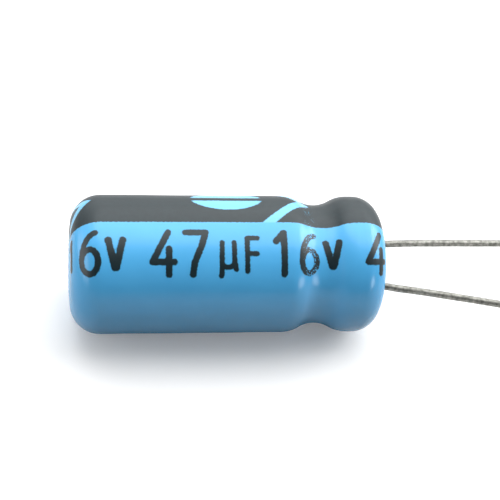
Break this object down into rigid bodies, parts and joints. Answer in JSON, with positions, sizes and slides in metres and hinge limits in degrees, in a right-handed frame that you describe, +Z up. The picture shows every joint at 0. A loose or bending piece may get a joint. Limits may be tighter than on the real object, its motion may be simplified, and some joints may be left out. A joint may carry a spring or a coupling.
{
  "type": "electrolytic capacitor",
  "caption": "Radial aluminium electrolytic capacitor: a blue-sleeved can with a bead groove, a rubber bung, a wound element inside and splayed wire leads.",
  "frame": {"origin": "centre of the box that the lying part covers on the table, at table height", "axes": "+X along the can's axis from the closed end to the wires, +Y towards the negative wire's side, +Z up"},
  "size_m": [0.0314, 0.007, 0.0053],
  "materials": {
    "sleeve_film": "printed heat-shrink film, glossy sky blue with black print",
    "can_aluminium": "drawn aluminium, satin",
    "bung_rubber": "moulded butyl rubber, matt black",
    "roll_paper": "wound paper and foil soaked in electrolyte",
    "tape_film": "thin adhesive tape, satin",
    "tab_aluminium": "pressed aluminium, satin",
    "wire_tinned": "tinned steel wire, dull grey"
  },
  "bodies": {
    "root": {"sleeve": "sleeve_film", "can": "can_aluminium", "rubber_bung": "bung_rubber", "wound_element": "roll_paper", "closing_tape": "tape_film", "anode_tab": "tab_aluminium", "cathode_tab": "tab_aluminium", "anode_lead": "wire_tinned", "cathode_lead": "wire_tinned"}
  },
  "joints": []
}
